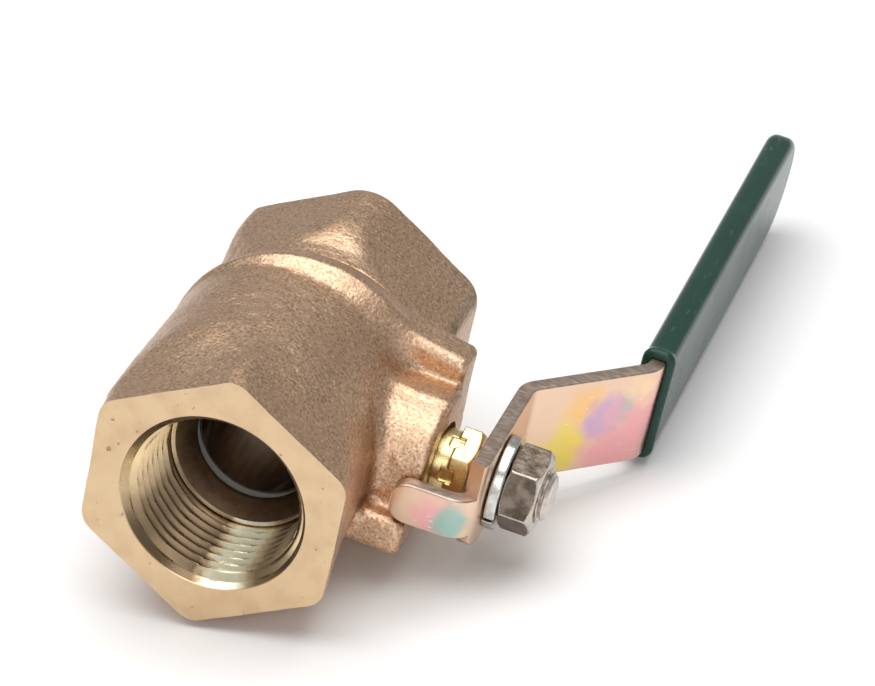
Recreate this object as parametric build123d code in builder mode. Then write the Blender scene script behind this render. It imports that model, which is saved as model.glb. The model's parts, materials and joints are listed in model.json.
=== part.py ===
"""Bronze two-piece ball valve, 1 inch pipe threads, lever open, lying on its side as it rests on a bench.

Each piece is modelled in the valve's own axes, in millimetres:
    X  along the stem, away from the pipe
    Y  along the pipe, from the inlet to the outlet
    Z  square to both
    origin where the stem axis crosses the pipe axis, at the centre of the ball
`finish` then turns each piece about Y by the angle at which the valve rests on its two hexagons and its grip.
"""
from build123d import *
import math
import os

# ---------------------------------------------------------------- pipe ends
inlet_end = 37.0          # ball centre to the inlet face
outlet_end = 41.0         # ball centre to the outlet face
hex_side = 22.7           # pipe axis to the two flats square to the stem
hex_slope = 21.9          # pipe axis to the other four flats
hex_round = 4.5           # radius of the cast corners
thread_pitch = 25.4 / 11.5
thread_crest = 14.7       # radius left by the tap drill
thread_turns = 8.5
mouth_radius = 17.0       # entry chamfer at the face
port_radius = 11.1

# ---------------------------------------------------------------- ball and seats
ball_radius = 16.5
seat_inner = 11.7
seat_outer = 15.4
seat_back = 14.3          # ball centre to the back of each seat
seat_front = 9.4
seat_gap = 0.06           # film between ball and seat
seat_proud = 1.5          # how far a seat stands out of its pocket
cavity_radius = 17.4
cavity_start = 12.0       # ball centre to the cavity's inlet wall

# ---------------------------------------------------------------- body and end connector
barrel_set_back = 2.6     # the barrel's axis lies behind the pipe's, away from the stem
barrel_radius = 24.0
barrel_start = 13.0       # ball centre to where the hexagon has faded out
hex_fade = 26.0           # ball centre to where it begins to fade
collar_set_back = 0.8
collar_radius = 26.0
collar_foot_radius = 21.8
collar_start = 5.0
collar_top = 9.5
collar_end = 14.5
collar_end_radius = 24.6
rim_radius = 23.2         # body's edge at the joint
barrel_blend = 16.0       # ball centre to where the barrel is round all the way
blend_start = 25.0        # ball centre to the barrel's narrow end, hidden in the hexagon
blend_radius = 19.6
overlap = 3.0             # how far the parts of a casting are run into each other
joint_plane = 16.5        # the body ends here and the connector's shoulder begins
joint_gap = 0.3
shoulder_depth = 1.4      # neck between the body and the connector's hexagon
neck_radius = 21.3
nose_radius = 18.7
nose_start = 8.0
nose_fit = 0.1            # clearance of the nose in its counterbore
dish_depth = 2.4          # the nose is dished to clear the ball
dish_radius = 17.3
seal_thickness = 0.9
connector_set_back = 0.8  # the connector's hexagon is cast a little off the pipe axis
connector_side = 23.5
connector_slope = 22.4
connector_round = 7.0
hex_chamfer = 4.0
chamfer_radius = 21.7     # where the chamfer starts on the shoulder

# ---------------------------------------------------------------- stem tower, along X
boss_radius = 12.0
boss_top = 30.0
boss_foot = 10.0
rib_near = 4.6            # the closed stop's near face
rib_far = 16.1
rib_height = 15.0
rib_step = 10.8           # the rib's near side slants out from here
rib_slant = 3.4
rib_low = -6.0
rib_top = 29.4
lug_top = 30.0
lug_high = -5.3           # the open stop's face, under the lever's tab
lug_low = -13.0
lug_near = -17.0
lug_far = -4.0
stop_round = 2.2
packing_radius = 7.6
packing_floor = 23.4
shank_clearance = 0.2
gland_thread = 8.4        # radius of the tapped part of the tower
gland_tapped = 26.4

# ---------------------------------------------------------------- stem, packing and gland
stem_radius = 4.76
stem_end = 51.5
stem_clearance = 0.05
stem_chamfer = 0.7
flange_radius = 7.1
flange_foot = 17.1
flange_top = 19.4
washer_thickness = 0.9
washer_foot = 19.43
washer_outer = 7.1
flange_pocket = 7.3
tang_width = 5.6
tang_length = 11.0
tang_foot = 12.4
slot_width = 5.8
slot_length = 11.4
slot_floor = 12.0
stem_flats = 7.0          # across the two flats that drive the lever
ring_count = 3
ring_height = 0.95
follower_radius = 7.4
nut_foot = 27.4           # the packing nut's threaded neck starts here
nut_shoulder = 32.9
nut_top = 36.9
nut_flats = 15.4
nut_neck = 7.1
nut_bevel = 1.0
nut_notches = 6
notch_foot = 32.3
notch_depth = 2.4
notch_width = 2.6
notch_height = 2.0
nut_turn = 19.0           # degrees from Y to a corner

# ---------------------------------------------------------------- lever
plate = 3.0
lever_foot = 38.1         # underside of the lever, on the stem's shoulder
lever_half_width = 10.0
grip_plane = 58.2         # mid-plane of the lever inside the grip
lower_bend = 17.6         # along Y, from the stem to the first bend
upper_bend = 38.6
bend_radius = 5.0
lever_end = 153.0
tab_plane = -14.4         # mid-plane of the stop tab
tab_low = -5.0            # the tab's two edges, along Z
tab_high = 3.2
tab_foot = 26.0
tab_bend = 3.6
tab_round = 2.9
tab_cut = 2.0 * plate     # depth of the notches that leave the tab
hole_fit = 0.08           # clearance of the lever's hole on the stem
end_round = 9.4
grip_start = 41.0
vinyl = 1.7
grip_round = 1.9
grip_end_round = 11.2

# ---------------------------------------------------------------- lever nut and lock washer
lock_outer = 8.8
lock_height = 2.4
lock_fit = 0.15
lock_split = 1.0
lock_turn = 205.0
lever_nut_flats = 14.3
lever_nut_height = 6.2
lever_nut_turn = 11.5     # degrees from Y to a corner
lever_nut_foot_bevel = 0.7
lever_nut_bevel = 0.9
lever_nut_face = 6.85     # radius of the flat ring left on the outer face

lever_top = lever_foot + plate
lock_top = lever_top + lock_height

# ---------------------------------------------------------------- resting angle
# The valve leans until the grip's lower outer edge is level with the hexagons' lower corners.
corner_centre = (hex_slope - hex_round) / math.cos(math.pi / 6)
corner_radius = corner_centre + hex_round + 1
grip_x = grip_plane + plate / 2 + vinyl - grip_round
grip_z = lever_half_width + vinyl - grip_round
lean = math.atan2(corner_centre - grip_z, grip_x)
reach = math.hypot(corner_centre - grip_z, grip_x)
resting_angle = math.degrees(lean + math.asin((hex_round - grip_round) / reach))
resting = Location((0, 0, 0), (0, resting_angle, 0))

os.makedirs("parts", exist_ok=True)


def finish(piece, label):
    """Turn a finished piece to its resting angle, name it and write it."""
    piece.part = resting * piece.part
    piece.part.label = label
    export_step(piece.part, f"parts/{label}.step")
    print(f"{label}: {piece.part.volume / 1000:.2f} cm3")


def across_pipe(y):
    """Plane square to the pipe at y, its own x along Z, its own y along X, its normal towards the outlet."""
    return Plane(origin=(0, y, 0), x_dir=(0, 0, 1), z_dir=(0, 1, 0))


def across_stem(x):
    """Plane square to the stem at x, with its own x along Y, its own y along Z, and its normal outwards."""
    return Plane(origin=(x, 0, 0), x_dir=(0, 1, 0), z_dir=(1, 0, 0))


def pipe_ring(inner, outer, start, end, mode=Mode.ADD):
    """A plain ring or disc about the pipe axis, between two places on Y."""
    with BuildSketch(Plane.XY) as section:
        with Locations(((inner + outer) / 2, (start + end) / 2)):
            Rectangle(outer - inner, abs(end - start))
    revolve(section.sketch, axis=Axis.Y, mode=mode)


def stem_ring(inner, outer, start, end, mode=Mode.ADD):
    """A plain ring or disc about the stem axis, between two places on X."""
    with BuildSketch(Plane.XY) as section:
        with Locations(((start + end) / 2, (inner + outer) / 2)):
            Rectangle(abs(end - start), outer - inner)
    revolve(section.sketch, axis=Axis.X, mode=mode)


def rounded_hexagon(side, slope, radius, set_back=0.0):
    """A cast hexagon, two flats square to X, its corners rounded, for a plane made by across_pipe."""
    side_corner = (slope - side / 2) / math.cos(math.pi / 6)
    top_corner = slope / math.cos(math.pi / 6)
    with Locations((0, -set_back)):
        Polygon((top_corner, 0), (side_corner, side), (-side_corner, side), (-top_corner, 0),
                (-side_corner, -side), (side_corner, -side), align=None)
    fillet(vertices(), radius=radius)


def turned_behind(set_back, *outline, mode=Mode.ADD):
    """Turn an outline of (radius, place along Y) about an axis set back from the pipe's, away from the stem."""
    with BuildSketch(Plane.XY) as section:
        with Locations((-set_back, 0)):
            Polygon(*outline, align=None)
    revolve(section.sketch, axis=Axis((-set_back, 0, 0), (0, 1, 0)), mode=mode)


def pipe_thread(face, inward):
    """Cut a pipe end's socket at the tap drill's radius, with its entry chamfer. The turns are not cut."""
    pipe_ring(0, thread_crest, face, face + inward * thread_turns * thread_pitch, mode=Mode.SUBTRACT)
    chamfer_depth = mouth_radius - thread_crest
    with BuildSketch(Plane.XY) as entry:
        Polygon((0, face), (mouth_radius, face), (thread_crest, face + inward * chamfer_depth),
                (0, face + inward * chamfer_depth), align=None)
    revolve(entry.sketch, axis=Axis.Y, mode=Mode.SUBTRACT)


def seat_pocket(side):
    """Cut the pocket that holds a seat, on the inlet side (-1) or the outlet side (+1)."""
    mouth = side * (seat_front - seat_proud)
    pipe_ring(0, seat_outer + seat_gap, side * seat_back, mouth, mode=Mode.SUBTRACT)


# ================================================================ body
with BuildPart() as body:
    # Cast hexagon at the inlet, its corners fading into the round barrel.
    with BuildSketch(across_pipe(-inlet_end)):
        rounded_hexagon(hex_side, hex_slope, hex_round)
    extrude(amount=inlet_end - barrel_start + overlap)
    clear_radius = corner_radius + barrel_set_back
    turned_behind(barrel_set_back, (0, -inlet_end), (clear_radius, -inlet_end), (clear_radius, -hex_fade),
                  (barrel_radius, -barrel_start), (barrel_radius, overlap - barrel_start),
                  (0, overlap - barrel_start), mode=Mode.INTERSECT)
    # Barrel with the collar that backs the joint.
    turned_behind(barrel_set_back, (0, -blend_start), (blend_radius, -blend_start),
                  (barrel_radius, -barrel_blend), (barrel_radius, collar_top), (0, collar_top))
    turned_behind(collar_set_back, (0, 0), (collar_foot_radius, 0), (collar_foot_radius, collar_start),
                  (collar_radius, collar_top), (collar_end_radius, collar_end),
                  (rim_radius, joint_plane - joint_gap), (0, joint_plane - joint_gap))
    # Stem tower.
    with BuildSketch(across_stem(boss_foot)):
        Circle(boss_radius)
    extrude(amount=boss_top - boss_foot)
    # The stop for the closed lever, beside the tower on the outlet side.
    with BuildSketch(across_stem(boss_foot)):
        with BuildLine():
            Polyline((0, rib_low), (rib_far, rib_low), (rib_far, rib_height),
                     (rib_near + rib_slant, rib_height), (rib_near, rib_step), (0, rib_step), close=True)
        make_face()
        fillet(vertices().filter_by_position(Axis.X, rib_near, rib_far), radius=stop_round)
    extrude(amount=rib_top - boss_foot)
    # The stop for the open lever, under its tab.
    with BuildSketch(across_stem(boss_foot)):
        with Locations(((lug_near + lug_far) / 2, (lug_low + lug_high) / 2)):
            RectangleRounded(lug_far - lug_near, lug_high - lug_low, stop_round)
    extrude(amount=lug_top - boss_foot)
    # Inside: inlet thread, port, seat pocket, cavity and the counterbore for the connector's nose.
    pipe_thread(-inlet_end, 1)
    pipe_ring(0, port_radius, -inlet_end, 0, mode=Mode.SUBTRACT)
    seat_pocket(-1)
    pipe_ring(0, cavity_radius, -cavity_start, joint_plane, mode=Mode.SUBTRACT)
    pipe_ring(0, nose_radius + nose_fit, nose_start - seal_thickness, joint_plane, mode=Mode.SUBTRACT)
    # Stem hole: flange pocket, shank, packing chamber and the tapped mouth for the packing nut.
    stem_ring(0, flange_pocket, 0, flange_top + washer_thickness, mode=Mode.SUBTRACT)
    stem_ring(0, stem_radius + shank_clearance, 0, packing_floor + overlap, mode=Mode.SUBTRACT)
    stem_ring(0, packing_radius, packing_floor, boss_top, mode=Mode.SUBTRACT)
    stem_ring(0, gland_thread, gland_tapped, boss_top, mode=Mode.SUBTRACT)
finish(body, "body")

# ================================================================ end connector
with BuildPart() as end_connector:
    with BuildSketch(across_pipe(joint_plane + shoulder_depth)):
        rounded_hexagon(connector_side, connector_slope, connector_round, connector_set_back)
    extrude(amount=outlet_end - joint_plane - shoulder_depth)
    with BuildSketch(Plane.XY):
        with BuildLine():
            shoulder = joint_plane + shoulder_depth
            Polyline((0, shoulder), (chamfer_radius, shoulder), (corner_radius, shoulder + hex_chamfer),
                     (corner_radius, outlet_end), (0, outlet_end), close=True)
        make_face()
    revolve(axis=Axis.Y, mode=Mode.INTERSECT)
    pipe_ring(0, neck_radius, joint_plane, joint_plane + shoulder_depth)
    pipe_ring(0, nose_radius, nose_start, joint_plane)
    pipe_thread(outlet_end, -1)
    pipe_ring(0, port_radius, 0, outlet_end, mode=Mode.SUBTRACT)
    seat_pocket(1)
    # The nose is dished so that it clears the ball.
    with BuildSketch(Plane.XY):
        with BuildLine():
            dish_end = nose_start + dish_depth
            Polyline((0, nose_start), (dish_radius, nose_start), (seat_outer + seat_gap, dish_end),
                     (0, dish_end), close=True)
        make_face()
    revolve(axis=Axis.Y, mode=Mode.SUBTRACT)
finish(end_connector, "end_connector")

# ================================================================ body seal
with BuildPart() as body_seal:
    pipe_ring(cavity_radius, nose_radius, nose_start - seal_thickness, nose_start)
finish(body_seal, "body_seal")

# ================================================================ seats
for side, name in ((-1, "inlet_seat"), (1, "outlet_seat")):
    with BuildPart() as seat:
        pipe_ring(seat_inner, seat_outer, side * seat_front, side * seat_back)
        Sphere(ball_radius + seat_gap, mode=Mode.SUBTRACT)
    finish(seat, name)

# ================================================================ ball
with BuildPart() as ball:
    Sphere(ball_radius)
    pipe_ring(0, port_radius, -ball_radius, ball_radius, mode=Mode.SUBTRACT)
    # The slot for the stem's tang runs across the port while the valve is open.
    with BuildSketch(across_stem(slot_floor)):
        Rectangle(slot_width, slot_length)
    extrude(amount=ball_radius, mode=Mode.SUBTRACT)
finish(ball, "ball")

# ================================================================ stem
with BuildPart() as stem:
    with BuildSketch(across_stem(tang_foot)):
        Rectangle(tang_width, tang_length)
    extrude(amount=flange_foot - tang_foot)
    stem_ring(0, flange_radius, flange_foot, flange_top)
    stem_ring(0, stem_radius, flange_top, stem_end)
    chamfer(stem.faces().sort_by(Axis.X)[-1].edges(), length=stem_chamfer)
    # Two flats drive the lever, which sits on the step below them.
    for side in (-1, 1):
        with BuildSketch(across_stem(lever_foot)):
            with Locations((0, side * (stem_flats / 2 + stem_radius / 2))):
                Rectangle(2 * stem_radius, stem_radius)
        extrude(amount=plate, mode=Mode.SUBTRACT)
finish(stem, "stem")

# ================================================================ stem thrust washer
with BuildPart() as stem_thrust_washer:
    stem_ring(stem_radius + stem_clearance, washer_outer, washer_foot, flange_top + washer_thickness)
finish(stem_thrust_washer, "stem_thrust_washer")

# ================================================================ packing rings
for count in range(ring_count):
    with BuildPart() as packing_ring:
        foot = packing_floor + count * ring_height
        stem_ring(stem_radius + stem_clearance, packing_radius, foot, foot + ring_height)
    finish(packing_ring, f"packing_ring_{count + 1}")

# ================================================================ packing follower
follower_foot = packing_floor + ring_count * ring_height
with BuildPart() as packing_follower:
    stem_ring(stem_radius + stem_clearance, follower_radius, follower_foot, nut_foot)
finish(packing_follower, "packing_follower")

# ================================================================ packing nut
with BuildPart() as packing_nut:
    stem_ring(0, gland_thread, nut_foot, boss_top)
    stem_ring(0, nut_neck, boss_top, nut_shoulder)
    with BuildSketch(across_stem(nut_shoulder)):
        RegularPolygon(radius=nut_flats / 2, side_count=6, major_radius=False, rotation=nut_turn)
    extrude(amount=nut_top - nut_shoulder)
    with BuildSketch(Plane.XY):
        with BuildLine():
            rim = nut_flats / 2 / math.cos(math.pi / 6)
            Polyline((nut_foot, 0), (nut_foot, gland_thread), (nut_shoulder, gland_thread),
                     (nut_shoulder, rim), (nut_top - nut_bevel, rim), (nut_top, nut_flats / 2),
                     (nut_top, 0), close=True)
        make_face()
    revolve(axis=Axis.X, mode=Mode.INTERSECT)
    # Notches around the underside of the head, for a pin spanner.
    with BuildSketch(across_stem(notch_foot)):
        with PolarLocations(nut_flats / 2, nut_notches, start_angle=nut_turn + 180 / nut_notches):
            Rectangle(notch_depth, notch_width)
    extrude(amount=notch_height, mode=Mode.SUBTRACT)
    stem_ring(0, stem_radius + stem_clearance, nut_foot, nut_top, mode=Mode.SUBTRACT)
finish(packing_nut, "packing_nut")

# ================================================================ lever
lever_mid = lever_foot + plate / 2
lever_line = [(lever_mid, tab_plane), (lever_mid, lower_bend),
              (grip_plane, upper_bend), (grip_plane, lever_end)]
with BuildPart() as lever:
    # The plate's side view: tab, seat on the stem, incline and grip tang.
    with BuildSketch(Plane.XY.offset(-lever_half_width)):
        with BuildLine():
            FilletPolyline((tab_foot, tab_plane), *lever_line, radius=(tab_bend, bend_radius, bend_radius))
        trace(line_width=plate)
    extrude(amount=2 * lever_half_width)
    # The tab is narrower than the lever, with a rounded free end.
    for edge, away in ((tab_low, -1), (tab_high, 1)):
        with BuildSketch(Plane.XY.offset(edge)):
            with Locations(((tab_foot + lever_mid) / 2 - plate / 4, tab_plane)):
                Rectangle(lever_mid - tab_foot + tab_cut, tab_cut)
        extrude(amount=away * 2 * lever_half_width, mode=Mode.SUBTRACT)
    fillet(lever.edges().filter_by(Axis.Y).group_by(Axis.X)[0], radius=tab_round)
    # The far end is round.
    fillet(lever.edges().filter_by(Axis.X).group_by(Axis.Y)[-1], radius=end_round)
    # Double-D hole over the stem.
    with BuildSketch(across_stem(lever_foot)):
        Circle(stem_radius + hole_fit)
        Rectangle(4 * stem_radius, stem_flats + 2 * hole_fit, mode=Mode.INTERSECT)
    extrude(amount=plate, mode=Mode.SUBTRACT)
finish(lever, "lever")

# ================================================================ lever grip
with BuildPart() as lever_grip:
    grip_width = 2 * (lever_half_width + vinyl)
    grip_length = lever_end + vinyl - grip_start
    grip_depth = plate + 2 * vinyl
    with BuildSketch(across_stem(grip_plane - grip_depth / 2)):
        with Locations(((grip_start + lever_end + vinyl) / 2, 0)):
            Rectangle(grip_length, grip_width)
        fillet(vertices().group_by(Axis.X)[-1], radius=grip_end_round)
    extrude(amount=grip_depth)
    outer_edges = lever_grip.faces().filter_by(Axis.X).edges()
    fillet(outer_edges.filter_by(lambda edge: edge.center().Y > grip_start + vinyl), radius=grip_round)
    # The lever's tang fills the inside.
    with BuildSketch(across_stem(grip_plane - plate / 2)):
        with Locations(((grip_start + lever_end) / 2, 0)):
            Rectangle(lever_end - grip_start, 2 * lever_half_width)
        fillet(vertices().group_by(Axis.X)[-1], radius=end_round)
    extrude(amount=plate, mode=Mode.SUBTRACT)
finish(lever_grip, "lever_grip")

# ================================================================ lock washer
with BuildPart() as lock_washer:
    stem_ring(stem_radius + lock_fit, lock_outer, lever_top, lock_top)
    with BuildSketch(across_stem(lever_top)):
        with Locations(Rotation(0, 0, lock_turn)):
            with Locations((lock_outer, 0)):
                Rectangle(2 * lock_outer, lock_split)
    extrude(amount=lock_height, mode=Mode.SUBTRACT)
finish(lock_washer, "lock_washer")

# ================================================================ lever nut
with BuildPart() as lever_nut:
    with BuildSketch(across_stem(lock_top)):
        RegularPolygon(radius=lever_nut_flats / 2, side_count=6, major_radius=False, rotation=lever_nut_turn)
    extrude(amount=lever_nut_height)
    with BuildSketch(Plane.XY):
        with BuildLine():
            rim = lever_nut_flats / 2 / math.cos(math.pi / 6)
            nut_end = lock_top + lever_nut_height
            Polyline((lock_top, 0), (lock_top, lever_nut_flats / 2), (lock_top + lever_nut_foot_bevel, rim),
                     (nut_end - lever_nut_bevel, rim), (nut_end, lever_nut_face), (nut_end, 0), close=True)
        make_face()
    revolve(axis=Axis.X, mode=Mode.INTERSECT)
    stem_ring(0, stem_radius, lock_top, nut_end, mode=Mode.SUBTRACT)
finish(lever_nut, "lever_nut")
print(f"resting angle {resting_angle:.3f} degrees")
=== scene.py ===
"""Looks of a bronze ball valve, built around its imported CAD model.

Shapes are worked out in the valve's own axes, in millimetres: X along the stem, Y along the pipe from
the inlet to the outlet, Z square to both, with the origin at the centre of the ball. `place` turns them
to the CAD frame.
"""
import json
import math

import bpy
import numpy as np
import openvdb
from mathutils import Matrix, Vector


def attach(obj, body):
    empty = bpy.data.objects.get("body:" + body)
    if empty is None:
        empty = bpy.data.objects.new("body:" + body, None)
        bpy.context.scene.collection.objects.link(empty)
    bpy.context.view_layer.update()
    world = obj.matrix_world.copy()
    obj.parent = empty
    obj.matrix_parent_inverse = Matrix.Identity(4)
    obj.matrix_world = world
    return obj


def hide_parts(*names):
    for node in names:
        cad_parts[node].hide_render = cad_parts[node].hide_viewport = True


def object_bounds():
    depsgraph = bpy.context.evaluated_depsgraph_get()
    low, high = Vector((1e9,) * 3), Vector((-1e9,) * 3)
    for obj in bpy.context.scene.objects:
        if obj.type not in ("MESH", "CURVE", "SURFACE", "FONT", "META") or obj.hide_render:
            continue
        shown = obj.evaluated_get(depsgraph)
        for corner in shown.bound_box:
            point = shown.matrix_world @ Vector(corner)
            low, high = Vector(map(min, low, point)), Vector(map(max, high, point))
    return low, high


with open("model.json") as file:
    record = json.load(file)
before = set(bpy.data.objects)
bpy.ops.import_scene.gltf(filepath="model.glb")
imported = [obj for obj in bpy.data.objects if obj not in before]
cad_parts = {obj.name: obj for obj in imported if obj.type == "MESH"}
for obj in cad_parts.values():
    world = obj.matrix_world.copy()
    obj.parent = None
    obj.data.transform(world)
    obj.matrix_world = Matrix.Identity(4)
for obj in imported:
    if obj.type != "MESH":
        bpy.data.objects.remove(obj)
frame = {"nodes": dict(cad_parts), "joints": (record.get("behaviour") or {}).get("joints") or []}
cad_low, cad_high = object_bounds()

MM = 0.001
TAU = 2 * math.pi
stem_axis = frame["joints"][0]["axis"]
rest_turn = math.atan2(stem_axis[2], -stem_axis[0])
place = Matrix.Rotation(rest_turn, 4, "Y") @ Matrix.Scale(MM, 4)
random = np.random.default_rng(7)

# ---------------------------------------------------------------- camera
VIEW_AZIMUTH = math.radians(17.6)
VIEW_ELEVATION = math.radians(27.6)
VIEW_ROLL = math.radians(-0.35)
VIEW_DISTANCE = 0.675
VIEW_TARGET = Vector((0.0247, 0.0138, 0.0095))
VIEW_LENS = 154.3

# ---------------------------------------------------------------- sizes, mm
INLET, OUTLET = -37.0, 41.0

# Hexagons: six distances from the axis to the flats, then the radii of the six corners.
NEAR_HEXAGON, NEAR_ROUNDS = [22.7, 21.9, 21.9, 22.7, 21.9, 21.9], [4.2] * 6
FAR_HEXAGON, FAR_ROUNDS = [22.6, 21.7, 23.0, 24.1, 22.0, 21.8], [7.0, 9.0, 4.0, 4.2, 4.2, 4.2]
HEXAGON_DRIFT, DRIFT_END = 0.9, -29
BARREL, BARREL_BACK = 23.7, 2.5
BARREL_FADE, BARREL_END = (-33, -14), 12
COLLAR_MIDDLE, COLLAR_HALF, COLLAR_BACK = 9.2, 7.0, 0.8
COLLAR_PLACES = [3.0, 5.4, 9.0, 10.6, 13.4, 16.2]
COLLAR_RADII = [21.5, 22.8, 25.5, 25.4, 24.1, 22.9]
SHOULDER, SHOULDER_START, SHOULDER_RISE, SHOULDER_SCALE = 21.9, 17.6, 0.30, 0.95
HEXAGON_START, UNCUT_END = 17.4, 42.4
NECK, NECK_START, NECK_END = 22.4, 16.4, 20.0
SWELL_CELL, GRAIN_CELL, GRAIN = 9.0, 1.6, 0.035
CASTING_STEP, CASTING_CREASE = 0.42, 34
JOINT = 16.5

# Stem tower, the closed stop with its web, and the open lug.
BOSS, BOSS_TOP, BOSS_DRAFT = 12.0, 30.0, 0.03
BOSS_MIDDLE, BOSS_HALF = 19, 11
STOP_MIDDLE, STOP_HALF, STOP_REACH = 11.9, 4.3, 10.4
STOP_FOOT, STOP_TOP, STOP_SLOPE = -6, 15.6, 0.2
WEB_MIDDLE, WEB_HALF, WEB_SLOPE = (4.0, 2.8), (5.0, 8.8), 0.12
LUG_MIDDLE, LUG_HALF, LUG_REACH = (-10.3, -9.0), (6.1, 3.7), 10.6

# Pipe threads, port and the ball's cavity.
PITCH = 25.4 / 11.5
THREAD_CREST, THREAD_ROOT, THREAD_TAPER = 14.9, 16.55, 1 / 32
THREAD_DEPTH, RUNOUT = 18.4, 2.5
TOOTH_RISE, TOOTH_FLAT = 1.15, 0.06
MOUTH, MOUTH_SLOPE = 17.0, 0.8
PORT = 11.1
BEHIND_THREAD = [(0.0, THREAD_CREST - 1.2), (2.6, PORT + 0.6), (3.4, PORT)]    # distance past it, radius
CLEAR, FACE_CUT, OVERCUT = 40.0, 6, 3
SEAT_POCKET, SEAT_BACK = 15.46, 14.3
CAVITY, CAVITY_START = 17.4, -12.0
NOSE, NOSE_START, NOSE_ROOT = 18.7, 8.0, 18.0
NOSE_GAP, NOSE_CHAMFER, NOSE_BORE, NOSE_BORE_DEPTH = 0.1, 0.8, 17.3, 2.4
SEAL = 0.9

# Where the castings' finishes change.
ON_FACE, FACE_MARGIN, PAINT_OVER = 0.01, 0.1, 0.05
PORT_PAINT, DARK_OVERLAP, STEM_CLEAR, NOSE_PAINT = 13.9, 0.4, 9.6, 16.3

# Stem; its hole and shank are listed as (place along the stem, radius).
STEM, STEM_END, STEM_FLAT = 4.76, 51.5, 3.5
STEM_PITCH = 25.4 / 24
STEM_HOLE = [(0.0, 7.3), (20.3, 7.3), (20.3, STEM + 0.2), (23.4, STEM + 0.2), (23.4, 7.6), (26.4, 7.6),
             (26.4, 8.4), (29.0, 8.4), (29.0, 7.3), (34.0, 7.3)]
TANG_START, TANG_END, TANG_Y, TANG_Z = 12.4, 17.6, 2.8, 5.5

# Lever and grip.
LEVER_FOOT, PLATE, HALF_WIDTH = 38.1, 3.0, 10.0
PLATE_ROUND = 0.45
GRIP_PLANE = 58.2
LOWER_BEND, UPPER_BEND, BEND = 17.6, 38.6, 5.0
LEVER_END, TIP_HALF = 150.0, 0.9
TAB_PLANE, TAB_LOW, TAB_HIGH, TAB_FOOT, TAB_BEND = -14.4, -5.0, 3.1, 26.0, 3.6
FOOT_WIDTH, FOOT_ROUND = 0.35, 3.4
TAB_RELIEF, SHOULDER_GAP, SHOULDER_ROUND = 0.5, 0.4, 11
EDGE_FACING = 0.55
GRIP_START, VINYL, GRIP_ROUND, GRIP_THINNER = 41.0, 1.7, 2.3, 0.3
STRAIGHT_END, POCKET_DEPTH = 100, 6
BEAD, BEAD_PLACE, BEAD_LENGTH = 0.35, 1.0, 0.9

# Stem hardware.
LOCK_TOP = LEVER_FOOT + PLATE + 2.4
LOCK_RADIUS, LOCK_HALF, LOCK_SPRING, LOCK_GAP_HALF = 8.8, 1.02, 0.28, 0.5
LOCK_SPLIT = math.radians(205)
NUT_HEIGHT, NUT_FLATS = 6.2, 14.3
NUT_CHAMFER, NUT_CHAMFER_DEPTH = 0.7, 0.9
NUT_TURN = math.radians(18.5)
RIM_TILT, RIM_FACING = 0.2, math.radians(7)
GLAND_SHOULDER, GLAND_TOP, GLAND_FLATS = 32.9, 36.9, 13.4
GLAND_NECK, GLAND_SCREW = 6.3, 8.3
NOTCH_HALF, NOTCH_FLOOR = (1.2, 1.3), 5.7
GLAND_TURN = math.radians(11.0)
STEM_SHANK = [(17.1, 6.6), (17.4, 7.1), (19.1, 7.1), (19.4, 6.8), (19.4, STEM), (LEVER_FOOT + PLATE, STEM)]

# ---------------------------------------------------------------- light
PALE, PALE_ROUGHNESS, PALE_SHINE = (0.92, 0.92, 0.92, 1), 0.7, 0.2
ROOM_COLOUR, ROOM_STRENGTH = (1.0, 0.99, 0.98, 1), 0.42


# ================================================================ mesh tools
def piece(name, points, faces, body, slot_name, *materials):
    """A named, smooth-shaded mesh from points in the valve's axes, riding on a CAD body."""
    mesh = bpy.data.meshes.new(name)
    mesh.from_pydata(np.asarray(points, float).tolist(), [], [list(map(int, face)) for face in faces])
    mesh.transform(place)
    mesh.validate()
    made = bpy.data.objects.new(name, mesh)
    bpy.context.scene.collection.objects.link(made)
    for material in materials:
        mesh.materials.append(material)
    mesh.shade_smooth()
    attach(made, body)
    return made


def surface(low, high, step, shape):
    """Points and quads of the surface where the distance shape(x, y, z) is zero."""
    axes = [np.arange(a, b + step, step, dtype=np.float32) for a, b in zip(low, high)]
    x, y, z = axes[0][:, None, None], axes[1][None, :, None], axes[2][None, None, :]
    field = np.ascontiguousarray(np.broadcast_to(shape(x, y, z), [len(a) for a in axes]), dtype=np.float32)
    grid = openvdb.FloatGrid(background=3 * step)
    grid.copyFromArray(np.clip(field, -3 * step, 3 * step))
    points, _, quads = grid.convertToPolygons(isovalue=0.0, adaptivity=0.0)
    points = points * step + np.array(low)
    a, b, c = (points[quads[:, k]] for k in (0, 1, 2))
    outward = np.einsum("ij,ij->i", np.cross(b - a, c - a), a).sum() > 0
    return points, quads if outward else quads[:, ::-1]


def turned(radii, along, steps, axis):
    """Closed solid of revolution; each ring has its place, and one radius or one for each step."""
    angle = np.arange(steps) * TAU / steps
    rings = np.array([np.broadcast_to(r, steps) for r in radii])
    u, v = rings * np.cos(angle), rings * np.sin(angle)
    w = np.broadcast_to(np.array(along)[:, None], rings.shape)
    order = (w, u, v) if axis == "X" else (u, w, v)
    points = np.stack(order, -1).reshape(-1, 3)
    count = len(along)
    i, j = np.meshgrid(np.arange(count - 1), np.arange(steps), indexing="ij")
    k = (j + 1) % steps
    quads = np.stack([i * steps + j, i * steps + k, (i + 1) * steps + k, (i + 1) * steps + j], -1)
    faces = quads.reshape(-1, 4).tolist()
    faces.append(list(range(steps))[::-1])
    faces.append(list(range((count - 1) * steps, count * steps)))
    if (axis == "X") == (along[-1] < along[0]):
        faces = [face[::-1] for face in faces]
    return points, faces


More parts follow.
